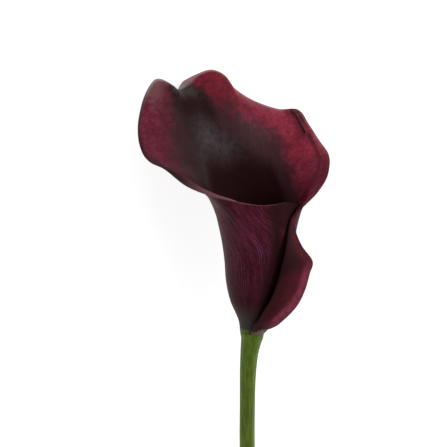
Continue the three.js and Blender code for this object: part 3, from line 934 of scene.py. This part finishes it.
def measure_leaf(piece, sheet, roots):
    """Notes on the leaf's mesh where each point lies, for the materials, and makes its map."""
    columns, rows = sheet.shape[:2]
    steps = np.linalg.norm(np.diff(sheet, axis=1), axis=2)
    along = np.concatenate([np.zeros((columns, 1)), np.cumsum(steps, axis=1)], axis=1)
    edge = along[:, -1:] - along
    around = np.repeat(roots[:, None], rows, axis=1)
    add_attribute(piece, "along_mm", along)
    add_attribute(piece, "edge_mm", edge)
    add_attribute(piece, "around_deg", around)
    add_attribute(piece, "blush_mm", through(BLUSH_WIDTH, roots)[:, None] - edge)
    add_attribute(piece, "throat_mm", edge - through(THROAT_FROM, roots)[:, None])
    right = in_zone(roots, RIGHT_LOBE)[:, None] > 0.5
    for name, fold in (("pleat_mm", PLEAT), ("crease_mm", CREASE)):
        add_attribute(piece, name, np.where(right, distance_to_line(sheet[..., :2], fold), FAR))
    layer = piece.data.uv_layers[0]
    layer.name = "leaf"
    corners = np.zeros(len(piece.data.loops), np.int32)
    piece.data.loops.foreach_get("vertex_index", corners)
    uv = np.stack([around.ravel()[corners] / 360, along.ravel()[corners] / 100], axis=1)
    layer.uv.foreach_set("vector", uv.astype(np.float32).ravel())


class CALLA_OT_spathe(bpy.types.Operator):
    """Make the spathe: one leaf rolled into a funnel, its rim flared and its tip curled back"""
    bl_idname = "calla.spathe"
    bl_label = "Spathe"

    def execute(self, context):
        settings = context.scene.calla_spathe
        columns, rows = settings.columns, settings.rows
        sheet, roots = spathe_sheet(columns, rows)
        deselect_all()
        bpy.ops.mesh.primitive_grid_add(x_subdivisions=rows - 1, y_subdivisions=columns - 1, size=1)
        piece = context.object
        piece.name = piece.data.name = "spathe_leaf"
        set_points(piece, placed(sheet).reshape(-1, 3))
        measure_leaf(piece, sheet, roots)

        thin = piece.vertex_groups.new(name="thin")
        full = 1 - (1 - settings.rim_share) * rise(THIN_FROM, 1.0, np.linspace(0, 1, rows))
        taper = 1 - FOOT_THINNER * rise(*FOOT_PLACE, roots)
        for i in range(columns):
            for j in range(rows):
                thin.add([i * rows + j], float(full[j] * taper[i]), "REPLACE")
        for make in (spathe_outside, spathe_inside, spathe_rim):
            piece.data.materials.append(make(settings))
        wall = piece.modifiers.new("wall", "SOLIDIFY")
        wall.thickness = settings.thickness
        wall.offset = 0
        wall.vertex_group = "thin"
        wall.material_offset = 1
        wall.material_offset_rim = 2
        apply_modifiers(piece)
        rest_on_table(piece)
        finish_piece(piece, "spathe")
        return {"FINISHED"}


def ring_tube(piece_name, rings, sides, ring_points):
    """A closed tube from a cylinder whose sides are cut into rings. Each point is then moved to where
    ring_points puts it, by its share of the tube's length and its angle round the tube."""
    deselect_all()
    bpy.ops.mesh.primitive_cylinder_add(vertices=sides, radius=1, depth=1, end_fill_type="NGON")
    piece = bpy.context.object
    piece.name = piece.data.name = piece_name
    bpy.ops.object.mode_set(mode="EDIT")
    mesh = bmesh.from_edit_mesh(piece.data)
    bpy.ops.mesh.select_all(action="DESELECT")
    for edge in mesh.edges:
        edge.select = abs(edge.verts[0].co.z - edge.verts[1].co.z) > 0.5
    bmesh.update_edit_mesh(piece.data)
    bpy.ops.mesh.subdivide(number_cuts=rings - 2)
    bpy.ops.object.mode_set(mode="OBJECT")
    for vertex in piece.data.vertices:
        share = vertex.co.z + 0.5
        angle = math.atan2(vertex.co.y, vertex.co.x)
        vertex.co = ring_points(share, angle)
    return piece


def stem_skin(colours):
    """Green skin with fine darker lines along it."""
    shader = Shader("stem_skin")
    place = shader.object_place()
    streak = shader.noise(shader.scaled(place, SKIN_STREAKS))
    cloud = shader.noise(shader.scaled(place, SKIN_CLOUDS))
    colour = shader.mix(shader.remap(streak, 0.35, 0.7), colours.green, colours.dark_green)
    colour = shader.over(colour, colours.dark_green, cloud, 0.35)
    shader.finish(colour, 0.42, 0.14)
    shader.bump(streak, STEM_RELIEF)
    return shader.material


def stem_cut(colours):
    """The cut end: pale spongy tissue with darker strands through it."""
    shader = Shader("stem_cut")
    place = shader.object_place()
    strands = shader.remap(shader.cells(place, CUT_STRANDS, "F1"), 0.25, 0.4)
    cloud = shader.noise(place, CUT_CLOUDS)
    colour = shader.mix(strands, colours.dark_green, colours.pith)
    colour = shader.over(colour, colours.green, shader.remap(cloud, 0.4, 0.7, 0.0, 0.5))
    shader.finish(colour, 0.6, 0.3)
    shader.bump(strands, STEM_RELIEF)
    return shader.material


def spadix_florets(colours):
    """Ochre with brown grain."""
    shader = Shader("spadix_florets")
    grain = shader.noise(shader.object_place(), FLORET_GRAIN)
    shader.finish(shader.mix(grain, colours.gap, colours.ochre), 0.7)
    shader.bump(grain, FLORET_RELIEF)
    return shader.material


class CALLA_OT_spadix(bpy.types.Operator):
    """Make the spadix, its florets raised in crossing spiral rows"""
    bl_idname = "calla.spadix"
    bl_label = "Spadix"

    def execute(self, context):
        settings = context.scene.calla_spadix
        foot, tip = SPADIX[0][0], SPADIX[-1][0]
        height = settings.floret_height / MM

        def ring_points(share, angle):
            up = foot + (tip - foot) * share
            around = settings.florets_round * angle / 2
            waves = 2 * math.pi * SPIRAL_WAVES * share
            fade = rise(0, FLORET_FADE, up - foot) * rise(0, FLORET_FADE, tip - up)
            bump = abs(math.cos(around + waves) * math.cos(around - waves))
            radius = through(SPADIX, up) + height * fade * (2 * bump ** FLORET_BLUNT - 1)
            across = through(WALL_DRIFT, up) + radius * math.cos(angle)
            return placed(flower_point(across, -radius * math.sin(angle), up))

        piece = ring_tube("spadix_spike", settings.rings, settings.sides, ring_points)
        piece.data.materials.append(spadix_florets(settings))
        finish_piece(piece, "spadix")
        return {"FINISHED"}


class CALLA_OT_stem(bpy.types.Operator):
    """Make the stem, from its cut end to the shoulder under the spathe, with its core inside"""
    bl_idname = "calla.stem"
    bl_label = "Stem"

    def execute(self, context):
        settings = context.scene.calla_stem
        skin = settings.rings - len(STEM_TOP) - len(STEM_CUT)
        lines = np.array([between(STEM, (len(STEM) - 1) * (1 - k / (skin - 1))) for k in range(skin)])
        heading = np.gradient(lines[:, :3], axis=0)
        heading /= np.linalg.norm(heading, axis=1, keepdims=True)

        def ring_points(share, angle):
            k = round(share * (settings.rings - 1)) - len(STEM_CUT)
            if k >= skin:
                up, radius = STEM_TOP[k - skin]
                return placed(flower_point(lines[-1][0] + radius * math.cos(angle), -radius * math.sin(angle), up))
            hollow, shrunk = STEM_CUT[k] if k < 0 else (0.0, 1.0)
            k = max(k, 0)
            middle = lines[k][:3]
            along = heading[k]
            side = unit(ACROSS - along * along[0])
            ridges = sum(depth * math.sin(count * angle + twist * share) for depth, count, twist in STEM_RIDGES)
            radius = lines[k][3] * (1 + ridges)
            point = middle + radius * (math.cos(angle) * side + math.sin(angle) * np.cross(along, side))
            point[2] = max(point[2], 0)
            return placed(middle + shrunk * (point - middle) + hollow * along)

        piece = ring_tube("stem_stalk", settings.rings, settings.sides, ring_points)
        piece.data.materials.append(stem_skin(settings))
        piece.data.materials.append(stem_cut(settings))
        self.mark_cut_end(piece)
        finish_piece(piece, "stem")
        bpy.ops.object.shade_smooth_by_angle(angle=math.radians(SHARP_ANGLE))
        return {"FINISHED"}

    def mark_cut_end(self, piece):
        """Gives the faces of the cut end their own material."""
        end = min(vertex.co.y for vertex in piece.data.vertices)
        for face in piece.data.polygons:
            if face.normal.y < -CUT_FACING and face.center.y < end + CUT_REACH * MM:
                face.material_index = 1


class CALLA_OT_stage(bpy.types.Operator):
    """Make the pale floor, the soft lights and the camera that looks down on the flower"""
    bl_idname = "calla.stage"
    bl_label = "Stage"

    def execute(self, context):
        settings = context.scene.calla_stage
        self.floor(settings)
        self.room(context.scene, settings)
        for name, place, size, power in SOFTBOXES:
            self.softbox(name, place, size, power)
        self.camera(context.scene, settings)
        context.scene.view_settings.view_transform = "Standard"
        return {"FINISHED"}

    def floor(self, settings):
        deselect_all()
        bpy.ops.mesh.primitive_plane_add(size=settings.floor_width)
        floor = bpy.context.object
        floor.name = floor.data.name = "stage_floor"
        shader = Shader("stage_floor")
        shader.finish(settings.floor_colour, 0.9)
        shader.feed(shader.surface.inputs["Emission Color"], (1, 1, 1))
        shader.feed(shader.surface.inputs["Emission Strength"], settings.floor_glow)
        floor.data.materials.append(shader.material)

    def room(self, scene, settings):
        """White light from all round, stronger from the horizon than from above."""
        world = bpy.data.worlds.new("soft_room")
        world.use_nodes = True
        nodes, links = world.node_tree.nodes, world.node_tree.links
        background = nodes["Background"]
        background.inputs["Color"].default_value = (1, 1, 1, 1)
        direction = nodes.new("ShaderNodeTexCoord")
        split = nodes.new("ShaderNodeSeparateXYZ")
        glow = nodes.new("ShaderNodeMapRange")
        links.new(direction.outputs["Generated"], split.inputs[0])
        links.new(split.outputs["Z"], glow.inputs["Value"])
        links.new(glow.outputs["Result"], background.inputs["Strength"])
        glow.inputs["From Min"].default_value, glow.inputs["From Max"].default_value = HORIZON
        glow.inputs["To Min"].default_value = HORIZON_LIGHT
        glow.inputs["To Max"].default_value = settings.room_light
        scene.world = world

    def softbox(self, name, place, size, power):
        """A square light that is turned towards the target."""
        bpy.ops.object.light_add(type="AREA", location=place)
        light = bpy.context.object
        light.name = name
        light.data.shape = "SQUARE"
        light.data.size = size
        light.data.energy = power
        away = np.array(place) - np.array(LIGHT_TARGET)
        turn = math.atan2(away[1], away[0]) + math.pi / 2
        light.rotation_euler = (math.acos(away[2] / np.linalg.norm(away)), 0, turn)

    def camera(self, scene, settings):
        """A camera that looks straight down on the middle of the picture."""
        x, y = [(centre + base) * MM for centre, base in zip(VIEW_CENTRE, PLACE)]
        bpy.ops.object.camera_add(location=(x, y, settings.camera_height), rotation=(0, 0, 0))
        camera = bpy.context.object
        camera.name = "camera"
        camera.data.lens = settings.lens
        camera.data.sensor_width = 36
        camera.data.clip_start = 0.01
        camera.data.clip_end = 50
        scene.camera = camera


class CALLA_PT_sidebar(bpy.types.Panel):
    """Buttons for the flower's pieces and its stage"""
    bl_idname = "CALLA_PT_sidebar"
    bl_label = "Calla Lily"
    bl_space_type = "VIEW_3D"
    bl_region_type = "UI"
    bl_category = "Calla Lily"

    def draw(self, context):
        for operator, settings, _ in PIECES:
            box = self.layout.box()
            box.operator(operator.bl_idname)
            group = getattr(context.scene, settings)
            for name in group.bl_rna.properties.keys():
                if name not in ("rna_type", "name"):
                    box.prop(group, name)


# each piece's operator, the scene's name for its settings, and their class
PIECES = [
    (CALLA_OT_spathe, "calla_spathe", SpatheSettings),
    (CALLA_OT_spadix, "calla_spadix", SpadixSettings),
    (CALLA_OT_stem, "calla_stem", StemSettings),
    (CALLA_OT_stage, "calla_stage", StageSettings),
]


def register():
    for operator, settings, group in PIECES:
        bpy.utils.register_class(group)
        setattr(bpy.types.Scene, settings, PointerProperty(type=group))
        bpy.utils.register_class(operator)
    bpy.utils.register_class(CALLA_PT_sidebar)


def unregister():
    bpy.utils.unregister_class(CALLA_PT_sidebar)
    for operator, settings, group in reversed(PIECES):
        bpy.utils.unregister_class(operator)
        delattr(bpy.types.Scene, settings)
        bpy.utils.unregister_class(group)


def main():
    register()
    bpy.ops.calla.spathe()
    bpy.ops.calla.spadix()
    bpy.ops.calla.stem()
    bpy.ops.calla.stage()


if __name__ == "__main__":
    main()
